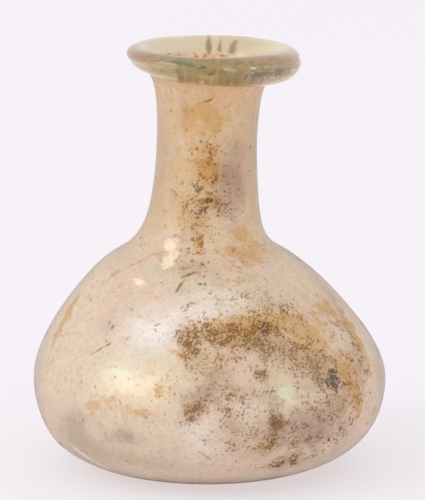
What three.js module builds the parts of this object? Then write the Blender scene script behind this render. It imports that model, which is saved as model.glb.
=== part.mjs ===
// A free-blown glass perfume flask of the Roman period: a squat, pear-shaped body, a slender neck and
// a broad folded lip. It is one piece of glass, hollow, and open at the mouth.
// Millimetres, +Z up. The origin is under the middle of the body, at the level of the table.
import * as THREE from "three";

const { degToRad, smoothstep } = THREE.MathUtils;

// The outside in section. Radii are measured from the axis and heights from the table. Each "sweep"
// is how far the curve holds its direction there before it bends away.
const FOOT = { radius: 13, sweep: 3.8, hollowRadius: 9, hollowHeight: 1.2 };
const BELLY = { radius: 37.2, height: 18.3, sweepBelow: 18.5, sweepAbove: 9.8 };
const SHOULDER = { radius: 18.1, height: 45.4, slope: degToRad(62), sweepBelow: 5.1, sweepAbove: 5.3 };
const WAIST = { radius: 10.4, height: 70.2, sweepBelow: 20.2, sweepAbove: 9.3 };
const NECK_TOP = { flare: degToRad(48), sweep: 2.3 };

// The lip is a flattened roll of glass, an ellipse in section with its outer end turned up. It meets
// the neck at the first angle around that ellipse and slopes into the mouth from the last one.
const LIP = {
  radius: 14.5,
  height: 86.15,
  halfWidth: 3.8,
  halfThickness: 2.7,
  upturn: degToRad(21),
  from: degToRad(-130),
  to: degToRad(85),
};
// From there the mouth narrows like a funnel to the bore of the neck, reached at this height.
const FUNNEL = { bottom: 79.5, slope: degToRad(20), sweep: 1.5, sweepBelow: 5 };

// The thickness of the glass at these heights on the outside.
const WALL = { heights: [0, 9, 18, 46, 70, 82], thicknesses: [2.4, 1.8, 1.4, 1.6, 1.8, 2.1] };

// What the glassblower's hand left. The middle of the flask wanders sideways from level to level, the
// upper neck and the lip lean, the roll of the lip is fatter on one side, and the body is a little
// out of round. Directions are angles from +X towards +Y.
const WANDER = {
  heights: [0, 18, 38, 46, 54, 68, 82, 87, 92],
  offsets: [-0.6, 0, -1.3, -1.95, -1.15, -0.6, -0.2, -0.1, 0.9],
};
const LEAN = { slope: Math.tan(degToRad(4)), direction: degToRad(-20), from: 46, full: 80 };
const LIP_SWELL = { share: 0.28, direction: degToRad(-10) };
const OUT_OF_ROUND = 0.006;

// How finely the round shapes are divided.
const SEGMENTS = 54;
const BODY_FACET = 3.6;
const LIP_FACET = 1.2;

const GLASS = { color: 0xd9d3b4, roughness: 0.35, metalness: 0, transparent: true, opacity: 0.6 };

const point = (radius, height) => new THREE.Vector2(radius, height);

// The point that lies a distance away from a start, at an angle from the +radius direction.
const away = (start, angle, distance) =>
  point(start.x + distance * Math.cos(angle), start.y + distance * Math.sin(angle));

// A smooth curve through values given at a few heights.
function throughHeights(heights, values) {
  const curve = new THREE.CubicInterpolant(heights, values, 1);
  return (height) => curve.evaluate(height)[0];
}

const thicknessAt = throughHeights(WALL.heights, WALL.thicknesses);
const wanderAt = throughHeights(WANDER.heights, WANDER.offsets);

// The lip in section, from the top of the neck around to the mouth.
const lipCurve = () =>
  new THREE.EllipseCurve(
    LIP.radius, LIP.height,
    LIP.halfWidth, LIP.halfThickness,
    LIP.from, LIP.to,
    false,
    LIP.upturn,
  );

// The outside from the middle of the base to the top of the neck, as curves end to end.
function outsideCurves() {
  const up = Math.PI / 2;
  const hollow = point(0, FOOT.hollowHeight);
  const ring = point(FOOT.hollowRadius, 0);
  const foot = point(FOOT.radius, 0);
  const belly = point(BELLY.radius, BELLY.height);
  const shoulder = point(SHOULDER.radius, SHOULDER.height);
  const waist = point(WAIST.radius, WAIST.height);
  const neckTop = lipCurve().getPoint(0);
  const climb = up + SHOULDER.slope;
  const flare = up - NECK_TOP.flare;
  const cubic = (...points) => new THREE.CubicBezierCurve(...points);
  return [
    new THREE.QuadraticBezierCurve(hollow, point(ring.x / 2, hollow.y), ring),
    new THREE.LineCurve(ring, foot),
    cubic(foot, away(foot, 0, FOOT.sweep), away(belly, -up, BELLY.sweepBelow), belly),
    cubic(
      belly,
      away(belly, up, BELLY.sweepAbove),
      away(shoulder, climb, -SHOULDER.sweepBelow),
      shoulder,
    ),
    cubic(
      shoulder,
      away(shoulder, climb, SHOULDER.sweepAbove),
      away(waist, -up, WAIST.sweepBelow),
      waist,
    ),
    cubic(waist, away(waist, up, WAIST.sweepAbove), away(neckTop, flare, -NECK_TOP.sweep), neckTop),
  ];
}

// Points along a curve, one for each facet, without its last point.
const trace = (curve, facet) => curve.getPoints(Math.ceil(curve.getLength() / facet)).slice(0, -1);

// The points of a profile moved into the glass, square to it, by the thickness there.
function insideOf(outside) {
  return outside.map((here, i) => {
    const before = outside[Math.max(i - 1, 0)];
    const after = outside[Math.min(i + 1, outside.length - 1)];
    const along = after.clone().sub(before).normalize();
    const inward = point(-along.y, along.x);
    return here.clone().addScaledVector(inward, thicknessAt(here.y));
  });
}

// The whole section: up the outside, around the lip, and down the inside to the middle of the floor.
function section() {
  const outside = outsideCurves().flatMap((curve) => trace(curve, BODY_FACET));
  const lip = lipCurve();
  const inside = insideOf(outside).filter(({ y }) => y < FUNNEL.bottom);
  const bore = inside.at(-1);
  // The middle of the floor is put back on the axis, which the first short facet leads away from.
  inside[0].x = 0;
  const lipEnd = lip.getPoint(1);
  const funnel = new THREE.CubicBezierCurve(
    lipEnd,
    away(lipEnd, Math.PI + FUNNEL.slope, FUNNEL.sweep),
    away(bore, Math.PI / 2, FUNNEL.sweepBelow),
    bore,
  );
  return [
    ...outside,
    ...trace(lip, LIP_FACET),
    ...trace(funnel, BODY_FACET / 2),
    ...inside.reverse(),
  ];
}

// Moves the vertices of the turned flask to where the glassblower's hand left them.
function shapeByHand(geometry) {
  const position = geometry.getAttribute("position");
  const vertex = new THREE.Vector3();
  for (let i = 0; i < position.count; i += 1) {
    vertex.fromBufferAttribute(position, i);
    const radius = Math.hypot(vertex.x, vertex.y);
    const direction = Math.atan2(vertex.y, vertex.x);
    const height = vertex.z;

    // The roll of the lip swells about the middle of its section, and the neck and mouth do not.
    const inLip =
      smoothstep(height, LIP.height - LIP.halfThickness * 1.5, LIP.height - LIP.halfThickness / 2) *
      smoothstep(radius, WAIST.radius, LIP.radius);
    const swell = inLip * LIP_SWELL.share * Math.cos(direction - LIP_SWELL.direction);
    const swollenRadius = radius + (radius - LIP.radius) * swell;
    const swollenHeight = height + (height - LIP.height) * swell;

    const outOfRound = 1 + OUT_OF_ROUND * Math.cos(2 * direction);
    const x = swollenRadius * Math.cos(direction) * outOfRound;
    const y = swollenRadius * Math.sin(direction) * outOfRound;
    const downhill = x * Math.cos(LEAN.direction) + y * Math.sin(LEAN.direction);
    const lean = LEAN.slope * smoothstep(height, LEAN.from, LEAN.full);
    position.setXYZ(i, x + wanderAt(height), y, swollenHeight - lean * downhill);
  }
  geometry.computeVertexNormals();
  return geometry;
}

function makeFlask() {
  const turned = new THREE.LatheGeometry(section(), SEGMENTS).rotateX(Math.PI / 2);
  const flask = new THREE.Mesh(shapeByHand(turned), new THREE.MeshStandardMaterial(GLASS));
  flask.name = "flask";
  return flask;
}

const model = new THREE.Group();
model.add(makeFlask());

export default model;
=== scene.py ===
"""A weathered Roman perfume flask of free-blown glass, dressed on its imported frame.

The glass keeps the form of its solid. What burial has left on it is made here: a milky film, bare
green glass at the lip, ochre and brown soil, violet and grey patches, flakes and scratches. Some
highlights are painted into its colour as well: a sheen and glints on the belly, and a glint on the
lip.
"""

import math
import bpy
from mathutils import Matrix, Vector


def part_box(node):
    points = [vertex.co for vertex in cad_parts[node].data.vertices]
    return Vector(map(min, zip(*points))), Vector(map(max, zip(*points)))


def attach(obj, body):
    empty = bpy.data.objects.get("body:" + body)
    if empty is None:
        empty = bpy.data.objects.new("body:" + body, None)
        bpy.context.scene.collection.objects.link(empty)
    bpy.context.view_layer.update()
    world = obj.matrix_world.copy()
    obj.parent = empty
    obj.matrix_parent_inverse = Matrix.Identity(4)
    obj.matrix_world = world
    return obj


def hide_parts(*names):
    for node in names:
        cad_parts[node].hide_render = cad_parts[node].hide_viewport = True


bl_info = {
    "name": "Weathered Glass Flask",
    "version": (1, 0, 0),
    "blender": (4, 5, 0),
    "location": "View3D > Sidebar > Flask",
    "description": "Dresses a blown glass flask with its film, soil and stains",
    "category": "Object",
}

from collections import namedtuple
from functools import partial

import bmesh
import bpy
import numpy as np
from mathutils import Vector
from mathutils.bvhtree import BVHTree

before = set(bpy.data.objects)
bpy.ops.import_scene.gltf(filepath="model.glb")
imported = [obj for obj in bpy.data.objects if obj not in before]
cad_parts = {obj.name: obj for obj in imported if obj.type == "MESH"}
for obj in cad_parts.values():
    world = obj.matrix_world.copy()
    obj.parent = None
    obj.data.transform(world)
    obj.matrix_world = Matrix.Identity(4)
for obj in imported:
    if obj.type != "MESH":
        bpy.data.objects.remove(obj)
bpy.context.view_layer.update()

MM = 0.001
CRUST_SIZE = 2.3 * MM  # the width of one swelling in the crust of soil
NODE = "flask"
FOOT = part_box(NODE)[0].z


def linear(hex_colour):
    """An sRGB hex colour as linear red, green, blue and alpha."""
    values = [int(hex_colour[i : i + 2], 16) / 255 for i in (1, 3, 5)]
    return (*(v / 12.92 if v <= 0.04045 else ((v + 0.055) / 1.055) ** 2.4 for v in values), 1.0)


# --- What a user may change ------------------------------------------------------------------


def length(name, description, default_mm):
    return bpy.props.FloatProperty(
        name=name, description=description, default=default_mm * MM, unit="LENGTH", precision=5
    )


def colour(name, description, hex_colour):
    return bpy.props.FloatVectorProperty(
        name=name, description=description, default=linear(hex_colour), size=4, subtype="COLOR",
        min=0, max=1,
    )


class FlaskSettings(bpy.types.PropertyGroup):
    refine: bpy.props.IntProperty(
        name="Refine", description="Times the solid's mesh is subdivided", default=2, min=0, max=2
    )
    ripple: length("Ripple", "Depth of the soft unevenness that blowing leaves", 0.12)
    ripple_size: length("Ripple size", "Distance from one soft swelling to the next", 17)
    fold_depth: length("Fold depth", "Depth of the seam where the lip is folded", 0.20)
    fold_width: length("Fold width", "Half the width of the seam where the lip is folded", 0.55)
    fold_height: length("Fold height", "Height of the seam above the foot", 86.5)
    crust_depth: length("Crust depth", "How far the soil crust stands up", 0.12)

    glass: colour("Glass", "Clean glass seen through the wall", "#EFE6C8")
    bare: colour("Bare glass", "Greenish glass where the film has gone", "#D6CBA8")
    lip_glass: colour("Lip glass", "The thick glass of the lip", "#EFDDBE")
    lip_olive: colour("Olive lip glass", "The lip where the glass is thickest", "#BEAD60")
    film: colour("Film", "The milky weathering film", "#F6E1C2")
    film_pink: colour("Pink film", "Where the film turns pink", "#F6D9C0")
    film_grey: colour("Grey film", "Where the film is thin and greenish grey", "#E8DDC2")
    peach: colour("Peach film", "The film on the neck", "#F6D09C")
    # Milk is also the colour of the painted glint on the front of the lip.
    milk: colour("Milk", "Where the film is thick and white", "#FAF2EC")
    # Painted sheen: the colour of a highlight painted on the lower left of the belly.
    painted_sheen: colour("Sheen", "Where the film shines", "#FFEDCC")
    flake: colour("Flake", "Fresh pale glass where the film has flaked", "#FFE8D2")
    # Painted glint: pale green spots painted where the lamps reflect in the film.
    painted_glint: colour("Pearl", "Where the film shines pale green", "#F3F7D4")
    ochre: colour("Ochre", "Iron stain and fine ochre soil", "#C38A30")
    soil: colour("Soil", "The soil crust", "#8A5820")
    soil_dark: colour("Dark soil", "Dark grains in the soil crust", "#3A1F0C")
    violet: colour("Violet", "Manganese stain, violet to grey", "#B28A82")
    slate: colour("Slate", "Blue-grey grains", "#4A4545")
    iris: colour("Iridescence", "Blue-green film in a hollow of the lip", "#5B6F55")


class StageSettings(bpy.types.PropertyGroup):
    distance: length("Distance", "From the camera to the flask", 700)
    elevation: bpy.props.FloatProperty(
        name="Elevation", description="How steeply the camera looks down",
        default=math.radians(11.5), subtype="ANGLE",
    )
    lens: bpy.props.FloatProperty(
        name="Lens", description="Focal length of the camera", default=239.8, unit="CAMERA"
    )
    sky: bpy.props.FloatProperty(name="Sky", description="Brightness all round", default=0.92)
    key: bpy.props.FloatProperty(
        name="Key", description="Power of the large light on the left", default=22.0, unit="POWER"
    )
    fill: bpy.props.FloatProperty(
        name="Fill", description="Power of the low light on the right", default=4.0, unit="POWER"
    )
    paper: colour("Paper", "The sheet that the flask stands on", "#F5F1F7")
    lit: bpy.props.FloatProperty(
        name="Lit", description="Share of the sheet's brightness that comes from below it",
        default=0.58, subtype="FACTOR", min=0, max=1,
    )


# --- Where the marks are ---------------------------------------------------------------------

# A patch is placed by the direction it faces, in degrees from +X towards +Y, so that -90 is the
# front, and by its height. Its half width, half height and height are millimetres along the glass,
# and it is turned anticlockwise, as seen from outside, by a slant in degrees. "clear" is bare
# glass, "olive", "iris" and "mould" lie on the lip, and "streak" lies inside it.
Patch = namedtuple("Patch", "facing height half_width half_height slant strength")

PATCHES = {
    "soil": [
        Patch(-98, 32.5, 2.6, 4.6, 25, 0.66),
        Patch(-88, 34.6, 6.5, 2.0, 0, 0.46),
        Patch(-67, 34.8, 3.4, 2.6, 0, 0.60),
        Patch(-76, 33.5, 9.0, 2.8, -5, 0.44),
        Patch(-62, 30.5, 9.0, 3.0, -15, 0.48),
        Patch(-50, 26.5, 7.5, 5.0, -30, 0.58),
        Patch(-52, 37.0, 7.0, 3.2, -20, 0.46),
        Patch(-85, 28.0, 10.0, 6.0, 0, 0.30),
        Patch(-95, 20.5, 3.4, 1.7, 40, 0.72),
        Patch(-80, 40.0, 15.0, 7.0, 0, 0.32),
        Patch(-72, 22.0, 17.0, 9.0, 0, 0.26),
        Patch(-103, 24.5, 3.0, 3.0, 0, 0.40),
        Patch(-72, 26.6, 1.4, 1.2, 0, 0.80),
        Patch(-68, 17.1, 1.3, 1.9, 20, 0.95),
        Patch(-80, 14.0, 14.0, 6.0, 0, 0.38),
        Patch(-58, 13.0, 13.0, 7.0, 0, 0.36),
        Patch(-84, 21.5, 6.0, 3.0, 0, 0.36),
        Patch(-62, 7.6, 9.0, 1.6, 6, 0.62),
        Patch(-40, 20.0, 8.0, 8.0, 0, 0.46),
        Patch(-26, 28.0, 4.0, 10.0, -22, 0.52),
        Patch(-100, 46.0, 7.0, 3.0, 0, 0.34),
        Patch(-95, 55.5, 4.0, 4.0, 0, 0.44),
        Patch(-112, 56.0, 5.0, 7.0, 0, 0.38),
        Patch(-90, 66.0, 5.0, 9.0, 0, 0.52),
        Patch(-64, 60.0, 4.0, 7.0, 0, 0.36),
        Patch(60, 30.0, 16.0, 9.0, 15, 0.52),
        Patch(120, 18.0, 13.0, 7.0, -10, 0.50),
        Patch(10, 24.0, 9.0, 9.0, 0, 0.42),
        Patch(150, 40.0, 10.0, 5.0, 10, 0.40),
        Patch(95, 64.0, 5.0, 8.0, 0, 0.44),
    ],
    "ochre": [
        Patch(-149, 42.9, 1.4, 1.0, 0, 0.75),
        Patch(-143, 45.0, 4.6, 0.6, 34, 0.62),
        Patch(-163, 33.0, 2.8, 8.0, 16, 0.78),
        Patch(-150, 30.0, 2.5, 2.5, 0, 0.40),
        Patch(-122, 26.8, 4.5, 0.8, 0, 0.52),
        Patch(-106, 24.3, 2.2, 2.8, -20, 0.72),
        Patch(-112, 19.3, 5.0, 1.4, 0, 0.78),
        Patch(-128, 19.5, 7.0, 3.4, 20, 0.62),
        Patch(-84, 31.0, 8.0, 5.0, 0, 0.48),
        Patch(-22, 14.0, 4.0, 4.0, 0, 0.60),
        Patch(-102, 30.8, 3.0, 0.8, -20, 0.60),
        Patch(-98, 32.5, 3.8, 5.4, 25, 0.40),
        Patch(-106, 14.0, 1.4, 2.2, 0, 0.62),
        Patch(-78, 36.0, 8.0, 1.6, 0, 0.62),
        Patch(-90, 39.8, 9.0, 1.2, 5, 0.46),
        Patch(-76, 43.5, 7.0, 3.0, 0, 0.46),
        Patch(-49, 32.5, 5.2, 4.6, -10, 0.98),
        Patch(-70, 35.0, 12.0, 2.6, -3, 0.60),
        Patch(-28, 36.0, 6.0, 4.6, -20, 0.66),
        Patch(-36, 25.0, 5.0, 8.0, -20, 0.60),
        Patch(-62, 48.0, 8.0, 3.0, 0, 0.50),
        Patch(-120, 48.0, 8.0, 3.0, 0, 0.44),
        Patch(-60, 36.5, 4.0, 1.4, 0, 0.62),
        Patch(-34, 17.8, 2.6, 5.4, 12, 0.85),
        Patch(-20, 29.0, 2.4, 9.0, -22, 0.80),
        Patch(-40, 26.0, 3.0, 3.0, -30, 0.55),
        Patch(-52, 47.5, 6.0, 2.2, 0, 0.52),
        Patch(-55, 51.0, 2.4, 2.2, 0, 0.90),
        Patch(-100, 50.5, 1.2, 1.6, 0, 0.85),
        Patch(-88, 64.5, 2.2, 1.6, 0, 0.86),
        Patch(-96, 67.5, 5.0, 7.0, 0, 0.60),
        Patch(-92, 58.0, 6.0, 5.0, 0, 0.50),
        Patch(-98, 76.0, 5.0, 4.0, 0, 0.56),
        Patch(-112, 76.0, 4.0, 5.0, 0, 0.30),
        Patch(-84, 78.0, 4.0, 6.0, 0, 0.36),
        Patch(-72, 11.0, 6.0, 3.0, 0, 0.54),
        Patch(-82, 19.0, 5.0, 2.0, 0, 0.44),
        Patch(-64, 22.0, 6.0, 3.0, 0, 0.34),
        Patch(40, 33.0, 12.0, 7.0, 0, 0.55),
        Patch(150, 30.0, 12.0, 6.0, 20, 0.50),
        Patch(95, 48.0, 8.0, 4.0, 0, 0.55),
        Patch(100, 33.0, 12.0, 3.0, 0, 0.50),
        Patch(85, 12.0, 14.0, 4.0, 0, 0.50),
    ],
    "violet": [
        Patch(-56, 15.0, 11.0, 6.0, 0, 0.90),
        Patch(-66, 62.0, 4.4, 9.5, -8, 0.95),
        Patch(-118, 76.0, 2.0, 4.5, 0, 0.60),
        Patch(-90, 78.0, 3.0, 5.0, 0, 0.36),
        Patch(-118, 13.4, 6.0, 2.6, 0, 0.75),
        Patch(-137, 15.0, 5.0, 5.0, 0, 0.45),
        Patch(-94, 22.0, 6.0, 3.4, 35, 0.66),
        Patch(-84, 25.5, 6.0, 3.0, 0, 0.46),
        Patch(-69, 16.6, 2.4, 3.0, 15, 0.70),
        Patch(-122, 50.5, 2.4, 1.3, 0, 0.60),
        Patch(-134, 36.0, 6.0, 6.0, 0, 0.36),
        Patch(-58, 41.0, 5.0, 3.0, 0, 0.44),
        Patch(100, 25.0, 14.0, 9.0, 0, 0.50),
        Patch(80, 62.0, 6.0, 9.0, 0, 0.50),
    ],
    "slate": [
        Patch(-67, 34.6, 2.2, 1.8, 0, 0.72),
        Patch(-45, 23.6, 3.6, 2.6, -40, 0.92),
        Patch(-33, 31.0, 3.4, 4.6, -30, 0.50),
        Patch(-71, 14.3, 2.2, 1.5, 0, 0.60),
        Patch(-74.5, 10.9, 1.7, 0.6, 0, 0.85),
        Patch(-84, 7.4, 2.2, 0.7, 0, 0.56),
        Patch(-60, 7.6, 8.0, 1.6, 8, 0.62),
        Patch(-40, 12.5, 7.0, 2.0, 16, 0.56),
        Patch(75, 16.0, 7.0, 4.0, 0, 0.60),
        Patch(140, 26.0, 5.0, 4.0, 0, 0.60),
    ],
    "milk": [
        Patch(-112, 34.5, 7.5, 4.2, 0, 0.95),
        Patch(-96, 38.0, 7.0, 2.4, 8, 0.85),
        Patch(-84, 40.5, 6.0, 2.0, 0, 0.60),
        Patch(-92, 15.0, 4.0, 5.0, 0, 0.60),
        Patch(-80, 20.5, 7.0, 2.6, 0, 0.50),
        Patch(-72, 55.0, 4.0, 3.0, 0, 0.30),
        Patch(170, 20.0, 12.0, 8.0, 0, 0.60),
        Patch(70, 42.0, 9.0, 4.0, 0, 0.55),
    ],
    # A painted sheen: a pale patch on the lower left of the belly, where the key light shines.
    "painted_sheen": [
        Patch(-119, 24.2, 6.5, 3.0, 0, 1.00),
        Patch(-110, 24.8, 5.2, 3.6, 0, 0.90),
    ],
    "clear": [
        Patch(180, 66.0, 8.5, 16.0, 0, 0.90),
        Patch(0, 66.0, 8.5, 16.0, 0, 0.90),
        Patch(-166, 20.0, 4.0, 6.0, 0, 0.60),
        Patch(-138, 11.0, 8.0, 3.0, -30, 0.55),
        Patch(-14, 20.0, 3.6, 4.6, 0, 0.85),
        Patch(-12, 37.5, 3.0, 3.0, 0, 0.80),
        Patch(-120, 9.0, 12.0, 2.0, -8, 0.45),
        Patch(-90, 2.6, 70.0, 1.5, 0, 0.90),
        Patch(-144, 8.0, 8.0, 5.0, -30, 0.60),
        Patch(-50, 7.0, 12.0, 1.5, 8, 0.40),
        Patch(110, 38.0, 5.0, 4.0, 0, 0.60),
        Patch(40, 18.0, 6.0, 4.0, 0, 0.60),
    ],
    "olive": [
        Patch(-92, 86.0, 16.0, 4.0, 0, 0.95),
        Patch(-104, 83.6, 7.0, 1.0, 0, 0.90),
        Patch(60, 86.0, 14.0, 4.0, 0, 0.60),
    ],
    "iris": [
        Patch(-112, 87.9, 2.4, 0.55, -8, 0.80),
        Patch(-103, 87.4, 3.4, 0.60, -6, 0.85),
    ],
    "mould": [
        Patch(-56, 85.6, 3.4, 0.9, 0, 0.70),
        Patch(-46, 85.4, 4.4, 1.1, 0, 0.85),
        Patch(-35, 85.6, 4.0, 1.8, 0, 0.50),
        Patch(-95, 87.1, 1.3, 0.6, 0, 0.85),
        Patch(-98, 84.5, 9.0, 1.2, 0, 0.40),
        Patch(-70, 84.6, 9.0, 1.0, 0, 0.44),
        Patch(150, 86.5, 5.0, 1.5, 0, 0.55),
        Patch(20, 86.5, 4.0, 1.5, 0, 0.55),
    ],
    "streak": [
        Patch(91, 87.0, 0.8, 2.6, 0, 0.95),
        Patch(80, 87.0, 0.7, 2.6, 0, 0.95),
        Patch(66, 86.6, 1.5, 2.2, 0, 0.85),
        Patch(104, 87.6, 0.50, 1.2, 0, 0.45),
        Patch(122, 87.6, 0.60, 1.4, 30, 0.40),
    ],
}

# Small crisp marks: where they face and lie, as above, and their stain, or the highlight a painted
# glint stands for.
Mark = namedtuple("Mark", "stain facing height half_width half_height slant")
MARK_HALF_DEPTH = 3.0  # how far a mark reaches into and out of the glass, in millimetres
OUTSIDE = 100 * MM  # a distance from the axis that is well clear of the glass

MARKS = [
    Mark("scratch", -134.0, 29.6, 1.9, 0.16, 36),
    Mark("scratch", -129.4, 31.3, 0.7, 0.26, 30),
    Mark("scratch", -111.5, 35.8, 0.9, 0.13, 24),
    Mark("scratch", -131.5, 34.3, 0.30, 0.42, 0),
    Mark("scratch", -95.5, 43.0, 0.35, 0.20, 0),
    Mark("scratch", -92.5, 43.0, 0.30, 0.20, 0),
    Mark("scratch", -107, 61.4, 0.35, 0.30, 0),
    Mark("scratch", -101, 60.8, 0.8, 0.42, 25),
    Mark("scratch", -93, 58.4, 1.0, 0.55, 0),
    Mark("scratch", -95, 56.8, 0.9, 0.42, 20),
    Mark("scratch", -106, 50.6, 0.35, 0.40, 0),
    Mark("scratch", -99, 70.6, 0.35, 0.35, 0),
    Mark("scratch", -93, 70.6, 0.35, 0.30, 0),
    Mark("scratch", -92, 79.2, 0.8, 0.16, 20),
    Mark("scratch", -89, 85.8, 0.55, 0.40, 0),
    Mark("scratch", -138.0, 7.8, 1.1, 0.2, -30),
    Mark("rust", -105.5, 42.9, 1.3, 0.30, 62),
    Mark("rust", -101.5, 44.6, 1.7, 0.22, 18),
    Mark("rust", -99.5, 50.8, 0.8, 0.5, 60),
    Mark("rust", -98.0, 49.8, 0.5, 0.7, 0),
    Mark("flake", -124, 49.3, 1.2, 1.3, 12),
    Mark("flake", -119.5, 46.8, 1.2, 1.6, 0),
    Mark("flake", -129.5, 42.6, 1.7, 0.45, -8),
    Mark("flake", -141.5, 7.0, 3.2, 0.75, -34),
    Mark("flake", -136.0, 5.0, 2.4, 0.6, -26),
    # Painted highlights: pale green glints where the lamps reflect in the belly.
    Mark("painted_glint", -65, 22.9, 1.6, 1.4, 0),
    Mark("painted_glint", -122, 26.6, 2.6, 0.5, 0),
    # A painted highlight: a glint across the front of the lip.
    Mark("painted_lip_glint", -76, 86.6, 1.6, 0.35, -6),
]


def on_patch(points, patch):
    """How strongly a patch covers each point, fading smoothly outwards from its middle."""
    facing = np.arctan2(points[:, 1], points[:, 0]) - math.radians(patch.facing)
    across = (facing + np.pi) % (2 * np.pi) - np.pi
    across = across * np.hypot(points[:, 0], points[:, 1]) / MM
    up = points[:, 2] / MM - patch.height
    slant = math.radians(patch.slant)
    along = (across * math.cos(slant) + up * math.sin(slant)) / patch.half_width
    over = (up * math.cos(slant) - across * math.sin(slant)) / patch.half_height
    return patch.strength * np.exp(-(along**2) - over**2)


# --- The flask -------------------------------------------------------------------------------


def smooth_step(value, low, high):
    share = np.clip((value - low) / (high - low), 0, 1)
    return share * share * (3 - 2 * share)


def refined_copy(node, levels):
    """The node's closed mesh, its triangles joined in four-sided faces and subdivided smooth."""
    shell = bmesh.new()
    shell.from_mesh(node.data)
    bmesh.ops.remove_doubles(shell, verts=shell.verts, dist=0.002 * MM)
    bmesh.ops.join_triangles(
        shell, faces=shell.faces, angle_face_threshold=math.radians(60),
        angle_shape_threshold=math.radians(80),
    )
    coarse = bpy.data.meshes.new("flask_coarse")
    shell.to_mesh(coarse)
    shell.free()
    flask = bpy.data.objects.new("blown_flask", coarse)
    bpy.context.collection.objects.link(flask)
    subdivide = flask.modifiers.new("Refine", "SUBSURF")
    subdivide.levels = subdivide.render_levels = levels
    shaped = flask.evaluated_get(bpy.context.evaluated_depsgraph_get())
    fine = bpy.data.meshes.new_from_object(shaped)
    flask.modifiers.clear()
    flask.data = fine
    fine.name = "blown_flask"
    bpy.data.meshes.remove(coarse)
    return flask


def read_vertices(mesh, attribute):
    values = np.empty(len(mesh.vertices) * 3)
    mesh.vertices.foreach_get(attribute, values)
    return values.reshape(-1, 3)


def ripples(points, size):
    """Soft swellings about that size apart, from minus one to one."""
    turns = points * (2 * np.pi / size)
    first = np.sin(turns[:, 0] + 1.7 * np.sin(turns[:, 2] * 0.7 + 1.0))
    second = np.sin(turns[:, 1] * 1.1 + 1.3 * np.sin(turns[:, 0] * 0.8))
    third = np.sin(turns[:, 2] * 0.9 + 1.1 * np.sin(turns[:, 1] * 0.6 + 2.0))
    return (first + second + third) / 3


def store(mesh, name, values):
    layer = mesh.attributes.new(name, "FLOAT", "POINT")
    layer.data.foreach_set("value", values.astype(np.float32))


def weather(mesh, settings):
    """Stores where each kind of weathering lies, and gives the glass its relief."""
    points = read_vertices(mesh, "co")
    normals = read_vertices(mesh, "normal")
    radius = np.hypot(points[:, 0], points[:, 1])
    outward = points[:, :2] / np.maximum(radius, MM)[:, None]
    faces_out = (outward * normals[:, :2]).sum(axis=1)
    up = points[:, 2] / MM

    floor_inside = (normals[:, 2] > 0.5) & (up < 8)
    inside = ((faces_out < -0.05) | floor_inside) & (up > 1.9)
    layers = {
        name: 1 - np.prod([1 - on_patch(points, patch) for patch in patches], axis=0)
        for name, patches in PATCHES.items()
    }
    for name in layers:
        layers[name] *= inside if name == "streak" else ~inside
    layers["inside"] = inside.astype(float)
    # The lip starts where the neck has flared out: the wider it is, the lower it may lie.
    flared = smooth_step(radius / MM + up * 0.6, 62.16, 63.52)
    layers["lip"] = flared * smooth_step(up, 80.5, 82.5)
    layers["neck"] = smooth_step(up, 46, 56) * (1 - layers["lip"])
    underneath = smooth_step(-normals[:, 2], 0.72, 0.95) * smooth_step(-up, -5, -1.5) * ~inside
    layers["ochre"] = np.maximum(layers["ochre"], 0.9 * underneath)
    for name, values in layers.items():
        store(mesh, name, values)

    relief = settings.ripple * ripples(points, settings.ripple_size) * smooth_step(up, 2, 10)
    relief += settings.crust_depth * layers["soil"] * ripples(points, CRUST_SIZE)
    seam = settings.fold_height + 0.3 * MM * np.sin(3 * np.arctan2(points[:, 1], points[:, 0]))
    groove = np.exp(-(((points[:, 2] - seam) / settings.fold_width) ** 2))
    relief -= settings.fold_depth * groove * layers["lip"] * smooth_step(faces_out, 0.3, 0.7)
    points += normals * np.where(inside, 0, relief)[:, None]
    mesh.vertices.foreach_set("co", points.ravel())
    mesh.update()


# --- Materials -------------------------------------------------------------------------------


# The steps that the materials are built from: the node and the settings behind each word.
STEPS = {
    "mix": ("Mix", {"data_type": "RGBA"}),
    "blend": ("Mix", {"data_type": "FLOAT"}),
    "ramp": ("MapRange", {"interpolation_type": "SMOOTHSTEP"}),
    "plus": ("Math", {"operation": "ADD"}),
    "minus": ("Math", {"operation": "SUBTRACT"}),
    "times": ("Math", {"operation": "MULTIPLY"}),
    "times_plus": ("Math", {"operation": "MULTIPLY_ADD"}),
    "most": ("Math", {"operation": "MAXIMUM"}),
    "offset": ("VectorMath", {"operation": "SUBTRACT"}),
    "reach": ("VectorMath", {"operation": "DOT_PRODUCT"}),
    "size": ("VectorMath", {"operation": "LENGTH"}),
}


def add_node(tree, step, *values, inputs=None, **settings):
    """Adds a node and gives back its first live output.

    Values, or other nodes' sockets, fill its live inputs in order, and those in inputs by name.
    """
    kind, fixed = STEPS.get(step, (step, {}))
    node = tree.nodes.new("ShaderNode" + kind)
    for name, value in {**fixed, **settings}.items():
        setattr(node, name, value)
    live = [socket for socket in node.inputs if socket.enabled]
    named = [(node.inputs[name], value) for name, value in (inputs or {}).items()]
    for socket, value in [*zip(live, values), *named]:
        if isinstance(value, bpy.types.NodeSocket):
            tree.links.new(value, socket)
        else:
            socket.default_value = value
    return next((socket for socket in node.outputs if socket.enabled), None)


def new_material(name):
    material = bpy.data.materials.new(name)
    material.use_nodes = True
    material.node_tree.nodes.clear()
    return material


# The clouds and grains that break up the weathering: the width of one in millimetres, the detail
# and roughness within it, a shift that keeps it apart from the others, and how far it is drawn out
# upwards.
Cloud = namedtuple("Cloud", "size detail roughness shift drawn", defaults=(0.55, 0.0, 1.0))

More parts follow.
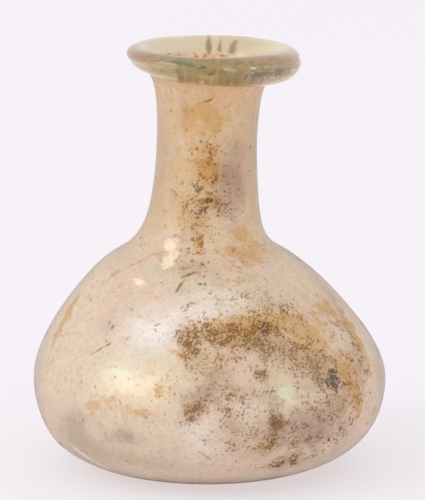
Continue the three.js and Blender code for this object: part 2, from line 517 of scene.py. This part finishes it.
CLOUDS = {
    "broad": Cloud(11, 2),
    "cloudy": Cloud(4.5, 4, shift=0.3),
    "cluster": Cloud(2.2, 3, shift=1.2),
    "grain": Cloud(1.2, 3, shift=0.6),
    "speckle": Cloud(0.55, 2, roughness=0.6, shift=1.5),
    "drawn": Cloud(1.1, 3, shift=2.7, drawn=9),
    "freckle": Cloud(1.7, 1, shift=1.8),
    "ragged": Cloud(2.4, 3, shift=2.1),
    "fine": Cloud(0.7, 2, shift=2.4),
}


def patchy(add, cover, noise, softness):
    """Breaks a cover up with a noise: none where it is 0, and nearly all where it is 1."""
    total = add("times_plus", cover, 0.55, noise)
    return add("ramp", total, 0.80 - softness, 0.80 + softness)


def small_mark(add, mark, place, glass, grain):
    """One small crisp mark with a ragged edge, as 1 on it and 0 off it."""
    facing, slant = math.radians(mark.facing), math.radians(mark.slant)
    out = Vector((math.cos(facing), math.sin(facing), 0))
    outside = out * OUTSIDE + Vector((0, 0, mark.height * MM))
    middle = glass.ray_cast(outside, -out)[0]
    across, up = Vector((-out.y, out.x, 0)), Vector((0, 0, 1))
    off = add("offset", place, middle)
    sides = (
        (across * math.cos(slant) + up * math.sin(slant), mark.half_width),
        (up * math.cos(slant) - across * math.sin(slant), mark.half_height),
        (out, MARK_HALF_DEPTH),
    )
    spot = add("CombineXYZ", *(add("reach", off, side / (half * MM)) for side, half in sides))
    ragged = add("times_plus", grain, 3.0, add("size", spot))
    return add("ramp", ragged, 2.1, 2.9, 1.0, 0.0)


def weathered_glass(flask, colours):
    """Blown soda-lime glass under a burial film.

    The film scatters light, so the wall looks milky where it is thick and shows greenish glass
    where it is gone. Soil and iron stains lie on it dull and opaque. The lip is thick, smooth and
    olive.
    """
    material = new_material("weathered_soda_lime_glass")
    add = partial(add_node, material.node_tree)
    place = add("TexCoord").node.outputs["Object"]
    noise = {}
    for name, cloud in CLOUDS.items():
        moved = add(
            "Mapping", place,
            inputs={"Location": (cloud.shift, 0, 0), "Scale": (1, 1, 1 / cloud.drawn)},
        )
        noise[name] = add(
            "TexNoise", moved, 1 / (cloud.size * MM), cloud.detail, cloud.roughness
        )
    broad, cloudy, grain = noise["broad"], noise["cloudy"], noise["grain"]
    speckle, fine = noise["speckle"], noise["fine"]
    cover = {
        name: add("Attribute", attribute_name=name).node.outputs["Fac"]
        for name in (*PATCHES, "inside", "lip", "neck")
    }
    inside, lip, neck, clear = (cover[name] for name in ("inside", "lip", "neck", "clear"))

    # The film: cream with pink and greenish clouds, more peach and drawn upwards on the neck.
    film = add("mix", add("ramp", broad, 0.40, 0.62), colours.film, colours.film_pink)
    film = add("mix", add("ramp", cloudy, 0.50, 0.70, 0, 0.8), film, colours.film_grey)
    peach = add("times", neck, add("ramp", cloudy, 0.30, 0.55, 0.6, 1.0))
    film = add("mix", peach, film, colours.peach)
    pale = add("times", neck, add("ramp", noise["drawn"], 0.45, 0.75, 0, 0.6))
    film = add("mix", pale, film, colours.film)
    milk = add("times", cover["milk"], add("ramp", cloudy, 0.25, 0.55, 0.6, 1.0))
    ground = add("mix", milk, film, colours.milk)
    ground = add("mix", add("ramp", grain, 0.50, 0.72, 0, 0.45), ground, colours.milk)
    ground = add("mix", add("ramp", grain, 0.50, 0.26, 0, 0.26), ground, colours.ochre)
    ground = add("mix", add("ramp", speckle, 0.50, 0.30, 0, 0.17), ground, colours.soil)
    ground = add("mix", add("times", clear, 0.75), ground, colours.bare)
    # Painted sheen: a pale patch on the lower left of the belly stands in for the key light's
    # highlight.
    painted_sheen = add("times", cover["painted_sheen"], add("ramp", grain, 0.25, 0.6, 0.5, 1.0))
    ground = add("mix", painted_sheen, ground, colours.painted_sheen)

    # Stains, from the widest and faintest to the darkest grains.
    uneven = add("times_plus", grain, 0.5, add("times", cloudy, 0.5))
    flecked = add("times_plus", speckle, 0.35, add("times", noise["cluster"], 0.65))
    violet = patchy(add, cover["violet"], uneven, 0.20)
    halo = patchy(add, cover["soil"], uneven, 0.16)
    ochre = patchy(add, cover["ochre"], flecked, 0.10)
    clumped = add("times_plus", noise["cluster"], 0.5, add("times", speckle, 0.75))
    grains = add("times_plus", cover["soil"], 0.36, clumped)
    strewn = add("plus", noise["freckle"], add("times", speckle, 0.3))
    freckles = add("ramp", strewn, 0.86, 0.90, 0, 0.7)
    specks = add("most", add("ramp", grains, 0.82, 0.91), freckles)
    crust = add("mix", add("ramp", grains, 0.90, 1.00), colours.soil, colours.soil_dark)
    slates = add("ramp", add("times_plus", cover["slate"], 0.40, clumped), 0.82, 0.94)
    stained = add("mix", add("times", violet, 0.66), ground, colours.violet)
    stained = add("mix", add("times", halo, 0.54), stained, colours.ochre)
    stained = add("mix", add("times", ochre, 0.62), stained, colours.ochre)
    stained = add("mix", add("times", specks, 0.70), stained, crust)
    stained = add("mix", add("times", slates, 0.65), stained, colours.slate)

    # Crisp marks: flakes, rust and scratches, and painted glints where the lamps reflect in the
    # film.
    glass = BVHTree.FromObject(flask, bpy.context.evaluated_depsgraph_get())
    marks = {}
    for mark in MARKS:
        here = small_mark(add, mark, place, glass, grain)
        marks[mark.stain] = add("most", marks[mark.stain], here) if mark.stain in marks else here
    scratches = add("times", marks["scratch"], 0.6)
    stained = add("mix", add("times", marks["flake"], 0.60), stained, colours.flake)
    stained = add("mix", add("times", marks["rust"], 0.7), stained, colours.soil)
    stained = add("mix", scratches, stained, colours.soil_dark)
    # Painted highlights: pale green glints where the lamps reflect in the belly.
    stained = add("mix", add("times", marks["painted_glint"], 0.85), stained, colours.painted_glint)

    # The lip: olive where it is thickest, with dark mould grains, one iridescent hollow and a
    # painted glint.
    olive = add("times", cover["olive"], add("ramp", cloudy, 0.25, 0.60, 0.65, 1.0))
    rim = add("mix", olive, colours.lip_glass, colours.lip_olive)
    rim = add("mix", add("ramp", noise["drawn"], 0.45, 0.75, 0, 0.35), rim, colours.film)
    iris = add("times", cover["iris"], add("ramp", grain, 0.35, 0.55, 0.4, 1.0))
    rim = add("mix", iris, rim, colours.iris)
    mould = add("ramp", add("times_plus", cover["mould"], 0.34, clumped), 0.82, 0.94)
    rim = add("mix", add("times", mould, 0.75), rim, colours.slate)
    # A painted highlight: a glint across the front of the lip, in the milk colour.
    rim = add("mix", marks["painted_lip_glint"], rim, colours.milk)
    rim = add("mix", add("times", marks["scratch"], 0.7), rim, colours.soil_dark)

    # The inside: cleaner glass, with brown runs below the mouth and soil caked in the neck, whose
    # upper edge is ragged and browner.
    height = add("SeparateXYZ", place).node.outputs["Z"]
    edge = FOOT + 88.5 * MM
    depth = add("minus", edge, add("times_plus", noise["ragged"], 5 * MM, height))
    throat = add("ramp", depth, 0, 0.4 * MM)
    brim = add(
        "times", add("ramp", depth, 0.3 * MM, 0.7 * MM),
        add("ramp", depth, 1.6 * MM, 2.4 * MM, 1.0, 0.0),
    )
    streak = patchy(add, cover["streak"], cloudy, 0.15)
    caked = add("mix", add("ramp", grain, 0.40, 0.60), colours.film_pink, colours.peach)
    brown = add("mix", add("ramp", grain, 0.40, 0.60, 0.1, 0.9), colours.peach, colours.soil)
    within = add("mix", add("ramp", cloudy, 0.35, 0.65, 0.15, 0.6), colours.glass, colours.film)
    within = add("mix", add("times", streak, 0.75), within, colours.soil)
    within = add("mix", throat, within, caked)
    within = add("mix", add("times", brim, add("ramp", speckle, 0.3, 0.6, 0.6, 1.0)), within, brown)
    tint = add("mix", inside, add("mix", lip, stained, rim), within)

    # How clear and how smooth each of these is.
    grainy = add("most", specks, slates)
    covered = add("most", add("times", ochre, 0.8), grainy)
    covered = add("most", covered, marks["flake"])
    passing = add("blend", add("most", milk, painted_sheen), 0.30, 0.12)
    passing = add("blend", clear, passing, 0.62)
    passing = add("blend", covered, passing, 0.04)
    through_lip = add("blend", add("most", mould, iris), 0.72, 0.25)
    passing = add("blend", lip, passing, through_lip)
    passing = add("blend", inside, passing, add("blend", add("most", throat, streak), 0.70, 0.10))

    rough = add("ramp", cloudy, 0.35, 0.65, 0.42, 0.58)
    rough = add("blend", clear, rough, 0.30)
    rough = add("blend", covered, rough, 0.85)
    rough = add("blend", lip, rough, add("blend", mould, 0.16, 0.5))
    rough = add("blend", inside, rough, add("blend", throat, 0.22, 0.85))

    pitted = add("times", fine, add("blend", lip, 0.30, 0.06))
    relief = add("times_plus", specks, add("plus", fine, 0.5), pitted)
    bump = add("Bump", inputs={"Height": relief, "Strength": 0.5, "Distance": 0.15 * MM})
    surface = add(
        "BsdfPrincipled",
        inputs={
            "Base Color": tint, "Roughness": rough, "Transmission Weight": passing, "IOR": 1.5,
            "Coat Weight": add("blend", covered, 0.25, 0.0), "Coat Roughness": 0.18,
            "Thin Film Thickness": 360.0, "Thin Film IOR": 1.43, "Normal": bump,
        },
    )
    add("OutputMaterial", surface)
    return material


def backlit_paper(settings):
    """Matt white paper on a light panel: lit from below as well, so shadows on it stay faint."""
    material = new_material("backlit_white_paper")
    add = partial(add_node, material.node_tree)
    surface = add(
        "BsdfPrincipled",
        inputs={
            "Base Color": tuple((1 - settings.lit) * value for value in settings.paper),
            "Roughness": 1.0, "Specular IOR Level": 0.0,
            "Emission Color": settings.paper, "Emission Strength": settings.lit,
        },
    )
    add("OutputMaterial", surface)
    return material


# --- Operators -------------------------------------------------------------------------------


class FLASK_OT_blow(bpy.types.Operator):
    """Makes the flask of weathered glass in the place of its solid"""

    bl_idname = "flask.blow"
    bl_label = "Make the flask"
    bl_options = {"REGISTER", "UNDO"}

    def execute(self, context):
        settings = context.scene.flask_settings
        flask = refined_copy(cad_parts[NODE], settings.refine)
        weather(flask.data, settings)
        flask.data.materials.clear()
        flask.data.materials.append(weathered_glass(flask, settings))
        flask.data.polygons.foreach_set("use_smooth", [True] * len(flask.data.polygons))
        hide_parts(NODE)
        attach(flask, "root")
        return {"FINISHED"}


class FLASK_OT_stage(bpy.types.Operator):
    """Lays the paper, sets the lights and places the camera"""

    bl_idname = "flask.stage"
    bl_label = "Set the stage"
    bl_options = {"REGISTER", "UNDO"}

    def execute(self, context):
        settings = context.scene.stage_settings
        self.lay_paper(context, settings)
        self.light_all_round(context.scene, settings)
        aim = Vector((0.58 * MM, 0, FOOT + 45.8 * MM))
        self.add_light(
            context, "key_light", settings.key, aim,
            size=(1.5, 1.1), facing=203, elevation=31, distance=3.0,
        )
        self.add_light(
            context, "fill_light", settings.fill, aim,
            size=(0.3, 0.3), facing=-37, elevation=7, distance=2.5,
        )
        self.place_camera(context, settings, aim)
        context.scene.view_settings.view_transform = "Standard"
        return {"FINISHED"}

    def lay_paper(self, context, settings):
        sheet = bmesh.new()
        bmesh.ops.create_grid(sheet, x_segments=1, y_segments=1, size=6.0)
        bmesh.ops.translate(sheet, verts=sheet.verts, vec=(0, 0, FOOT))
        mesh = bpy.data.meshes.new("paper")
        sheet.to_mesh(mesh)
        sheet.free()
        mesh.materials.append(backlit_paper(settings))
        paper = bpy.data.objects.new("paper", mesh)
        context.collection.objects.link(paper)

    def light_all_round(self, scene, settings):
        world = bpy.data.worlds.new("white_studio")
        scene.world = world
        world.use_nodes = True
        background = world.node_tree.nodes["Background"]
        background.inputs["Color"].default_value = linear("#FFFDFB")
        background.inputs["Strength"].default_value = settings.sky

    def add_light(self, context, name, power, aim, size, facing, elevation, distance):
        """A soft rectangular light, placed by its direction from the flask, aimed at it."""
        light = bpy.data.lights.new(name, "AREA")
        light.shape = "RECTANGLE"
        light.size, light.size_y = size
        light.energy = power
        turn, rise = math.radians(facing), math.radians(elevation)
        direction = Vector(
            (math.cos(turn) * math.cos(rise), math.sin(turn) * math.cos(rise), math.sin(rise))
        )
        lamp = bpy.data.objects.new(name, light)
        lamp.location = aim + direction * distance
        lamp.rotation_euler = direction.to_track_quat("Z", "Y").to_euler()
        context.collection.objects.link(lamp)

    def place_camera(self, context, settings, aim):
        camera = bpy.data.cameras.new("camera")
        camera.lens = settings.lens
        camera.sensor_width = 36
        camera.clip_start, camera.clip_end = 0.05, 30
        eye = bpy.data.objects.new("camera", camera)
        direction = Vector((0, -math.cos(settings.elevation), math.sin(settings.elevation)))
        eye.location = aim + direction * settings.distance
        eye.rotation_euler = direction.to_track_quat("Z", "Y").to_euler()
        context.collection.objects.link(eye)
        context.scene.camera = eye


class FLASK_PT_panel(bpy.types.Panel):
    bl_label = "Weathered Glass Flask"
    bl_idname = "FLASK_PT_panel"
    bl_space_type = "VIEW_3D"
    bl_region_type = "UI"
    bl_category = "Flask"

    def draw(self, context):
        for operator, group in (
            (FLASK_OT_blow, context.scene.flask_settings),
            (FLASK_OT_stage, context.scene.stage_settings),
        ):
            box = self.layout.box()
            box.operator(operator.bl_idname)
            for name in group.__annotations__:
                box.prop(group, name)


CLASSES = (FlaskSettings, StageSettings, FLASK_OT_blow, FLASK_OT_stage, FLASK_PT_panel)


def register():
    for cls in CLASSES:
        bpy.utils.register_class(cls)
    bpy.types.Scene.flask_settings = bpy.props.PointerProperty(type=FlaskSettings)
    bpy.types.Scene.stage_settings = bpy.props.PointerProperty(type=StageSettings)


def unregister():
    del bpy.types.Scene.flask_settings
    del bpy.types.Scene.stage_settings
    for cls in reversed(CLASSES):
        bpy.utils.unregister_class(cls)


def main():
    register()
    bpy.ops.flask.blow()
    bpy.ops.flask.stage()


if __name__ == "__main__":
    main()
